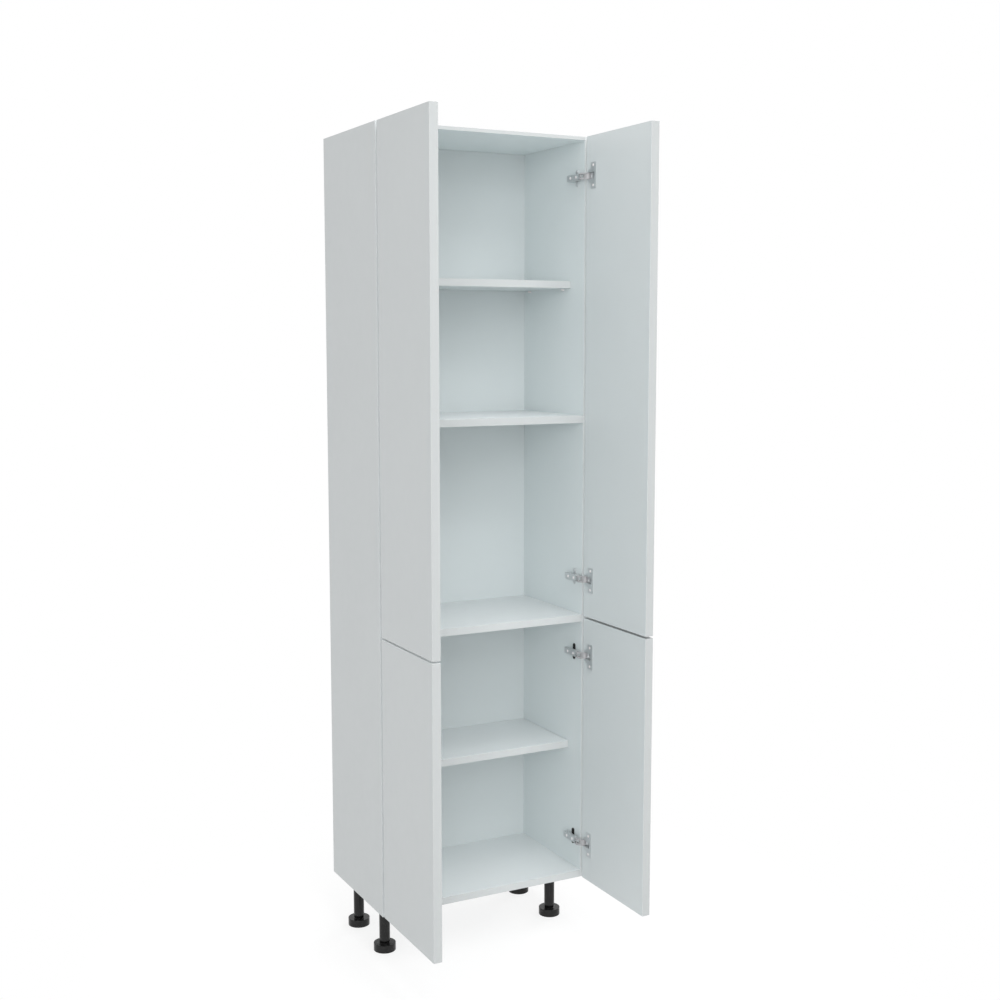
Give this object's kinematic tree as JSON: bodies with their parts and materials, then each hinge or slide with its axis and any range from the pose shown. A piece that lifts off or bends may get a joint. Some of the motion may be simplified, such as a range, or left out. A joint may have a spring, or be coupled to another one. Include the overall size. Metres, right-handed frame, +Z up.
{
  "type": "tall larder unit",
  "caption": "Tall kitchen larder cupboard with an upper and a lower pair of slab doors, shelves, concealed cup hinges and adjustable plastic legs.",
  "frame": {"origin": "on the floor, under the middle of the box round the unit as it stands at rest, with its doors open at a right angle", "axes": "+Z up, -Y out of the open front, +X to the right of someone who faces the front"},
  "size_m": [0.602, 0.656, 2.11],
  "materials": {
    "carcass_board": "satin",
    "door_board": "satin",
    "nickel_steel": "nickel plated",
    "bright_steel": "bright",
    "leg_plastic": "semi-gloss"
  },
  "bodies": {
    "carcass": {"side_panel_left": "carcass_board", "side_panel_right": "carcass_board", "top_panel": "carcass_board", "bottom_panel": "carcass_board", "back_panel": "carcass_board", "loose_shelf_upper": "carcass_board", "fixed_shelf_upper": "carcass_board", "fixed_shelf_split": "carcass_board", "loose_shelf_lower": "carcass_board", "hinge_arm_upper_left_top": "nickel_steel", "hinge_arm_upper_left_bottom": "nickel_steel", "hinge_arm_upper_right_top": "nickel_steel", "hinge_arm_upper_right_bottom": "nickel_steel", "hinge_arm_lower_left_top": "nickel_steel", "hinge_arm_lower_left_bottom": "nickel_steel", "hinge_arm_lower_right_top": "nickel_steel", "hinge_arm_lower_right_bottom": "nickel_steel", "leg_socket_front_left": "leg_plastic", "leg_socket_front_right": "leg_plastic", "leg_socket_rear_left": "leg_plastic", "leg_socket_rear_right": "leg_plastic", "leg_tube_front_left": "leg_plastic", "leg_tube_front_right": "leg_plastic", "leg_tube_rear_left": "leg_plastic", "leg_tube_rear_right": "leg_plastic"},
    "outer_links_upper_left": {"outer_link_upper_left_top": "bright_steel", "outer_link_upper_left_bottom": "bright_steel"},
    "outer_links_upper_right": {"outer_link_upper_right_top": "bright_steel", "outer_link_upper_right_bottom": "bright_steel"},
    "outer_links_lower_left": {"outer_link_lower_left_top": "bright_steel", "outer_link_lower_left_bottom": "bright_steel"},
    "outer_links_lower_right": {"outer_link_lower_right_top": "bright_steel", "outer_link_lower_right_bottom": "bright_steel"},
    "inner_links_upper_left": {"inner_link_upper_left_top": "bright_steel", "inner_link_upper_left_bottom": "bright_steel"},
    "inner_links_upper_right": {"inner_link_upper_right_top": "bright_steel", "inner_link_upper_right_bottom": "bright_steel"},
    "inner_links_lower_left": {"inner_link_lower_left_top": "bright_steel", "inner_link_lower_left_bottom": "bright_steel"},
    "inner_links_lower_right": {"inner_link_lower_right_top": "bright_steel", "inner_link_lower_right_bottom": "bright_steel"},
    "door_upper_left": {"door_upper_left": "door_board", "hinge_cup_upper_left_top": "nickel_steel", "hinge_cup_upper_left_bottom": "nickel_steel"},
    "door_upper_right": {"door_upper_right": "door_board", "hinge_cup_upper_right_top": "nickel_steel", "hinge_cup_upper_right_bottom": "nickel_steel"},
    "door_lower_left": {"door_lower_left": "door_board", "hinge_cup_lower_left_top": "nickel_steel", "hinge_cup_lower_left_bottom": "nickel_steel"},
    "door_lower_right": {"door_lower_right": "door_board", "hinge_cup_lower_right_top": "nickel_steel", "hinge_cup_lower_right_bottom": "nickel_steel"},
    "foot_front_left": {"leg_foot_front_left": "leg_plastic"},
    "foot_front_right": {"leg_foot_front_right": "leg_plastic"},
    "foot_rear_left": {"leg_foot_rear_left": "leg_plastic"},
    "foot_rear_right": {"leg_foot_rear_right": "leg_plastic"}
  },
  "joints": [
    {"name": "upper_left_outer_link_pivot", "type": "hinge", "parent": "carcass", "child": "outer_links_upper_left", "pos_m": [-0.2643, -0.0268, 1.4865], "axis": [0, 0, 1], "range_deg": [-57.43, 3.47]},
    {"name": "upper_left_door_swing", "type": "hinge", "parent": "outer_links_upper_left", "child": "door_upper_left", "pos_m": [-0.28029, -0.04323, 1.4865], "axis": [0, 0, 1], "range_deg": [-8.17, 147.13]},
    {"name": "upper_left_inner_link_pivot", "type": "hinge", "parent": "carcass", "child": "inner_links_upper_left", "pos_m": [-0.2717, -0.0299, 1.4865], "axis": [0, 0, 1], "range_deg": [-61.17, 3.68]},
    {"name": "upper_right_outer_link_pivot", "type": "hinge", "parent": "carcass", "child": "outer_links_upper_right", "pos_m": [0.2643, -0.0268, 1.4865], "axis": [0, 0, -1], "range_deg": [-57.43, 3.47]},
    {"name": "upper_right_door_swing", "type": "hinge", "parent": "outer_links_upper_right", "child": "door_upper_right", "pos_m": [0.28029, -0.04323, 1.4865], "axis": [0, 0, -1], "range_deg": [-8.17, 147.13]},
    {"name": "upper_right_inner_link_pivot", "type": "hinge", "parent": "carcass", "child": "inner_links_upper_right", "pos_m": [0.2717, -0.0299, 1.4865], "axis": [0, 0, -1], "range_deg": [-61.17, 3.68]},
    {"name": "lower_left_outer_link_pivot", "type": "hinge", "parent": "carcass", "child": "outer_links_lower_left", "pos_m": [-0.2643, -0.0268, 0.5015], "axis": [0, 0, 1], "range_deg": [-57.43, 3.47]},
    {"name": "lower_left_door_swing", "type": "hinge", "parent": "outer_links_lower_left", "child": "door_lower_left", "pos_m": [-0.28029, -0.04323, 0.5015], "axis": [0, 0, 1], "range_deg": [-8.17, 147.13]},
    {"name": "lower_left_inner_link_pivot", "type": "hinge", "parent": "carcass", "child": "inner_links_lower_left", "pos_m": [-0.2717, -0.0299, 0.5015], "axis": [0, 0, 1], "range_deg": [-61.17, 3.68]},
    {"name": "lower_right_outer_link_pivot", "type": "hinge", "parent": "carcass", "child": "outer_links_lower_right", "pos_m": [0.2643, -0.0268, 0.5015], "axis": [0, 0, -1], "range_deg": [-57.43, 3.47]},
    {"name": "lower_right_door_swing", "type": "hinge", "parent": "outer_links_lower_right", "child": "door_lower_right", "pos_m": [0.28029, -0.04323, 0.5015], "axis": [0, 0, -1], "range_deg": [-8.17, 147.13]},
    {"name": "lower_right_inner_link_pivot", "type": "hinge", "parent": "carcass", "child": "inner_links_lower_right", "pos_m": [0.2717, -0.0299, 0.5015], "axis": [0, 0, -1], "range_deg": [-61.17, 3.68]},
    {"name": "foot_turn_front_left", "type": "hinge", "parent": "carcass", "child": "foot_front_left", "pos_m": [-0.2485, 0.093, 0], "axis": [0, 0, 1], "continuous": true},
    {"name": "foot_turn_front_right", "type": "hinge", "parent": "carcass", "child": "foot_front_right", "pos_m": [0.2485, 0.093, 0], "axis": [0, 0, 1], "continuous": true},
    {"name": "foot_turn_rear_left", "type": "hinge", "parent": "carcass", "child": "foot_rear_left", "pos_m": [-0.2485, 0.274, 0], "axis": [0, 0, 1], "continuous": true},
    {"name": "foot_turn_rear_right", "type": "hinge", "parent": "carcass", "child": "foot_rear_right", "pos_m": [0.2485, 0.274, 0], "axis": [0, 0, 1], "continuous": true}
  ],
  "couplings": [
    {"joint": "upper_left_outer_link_pivot", "follows": "upper_left_door_swing", "ratio": -0.38829},
    {"joint": "upper_left_inner_link_pivot", "follows": "upper_left_door_swing", "ratio": -0.41371},
    {"joint": "upper_right_outer_link_pivot", "follows": "upper_right_door_swing", "ratio": -0.38829},
    {"joint": "upper_right_inner_link_pivot", "follows": "upper_right_door_swing", "ratio": -0.41371},
    {"joint": "lower_left_outer_link_pivot", "follows": "lower_left_door_swing", "ratio": -0.38829},
    {"joint": "lower_left_inner_link_pivot", "follows": "lower_left_door_swing", "ratio": -0.41371},
    {"joint": "lower_right_outer_link_pivot", "follows": "lower_right_door_swing", "ratio": -0.38829},
    {"joint": "lower_right_inner_link_pivot", "follows": "lower_right_door_swing", "ratio": -0.41371}
  ]
}
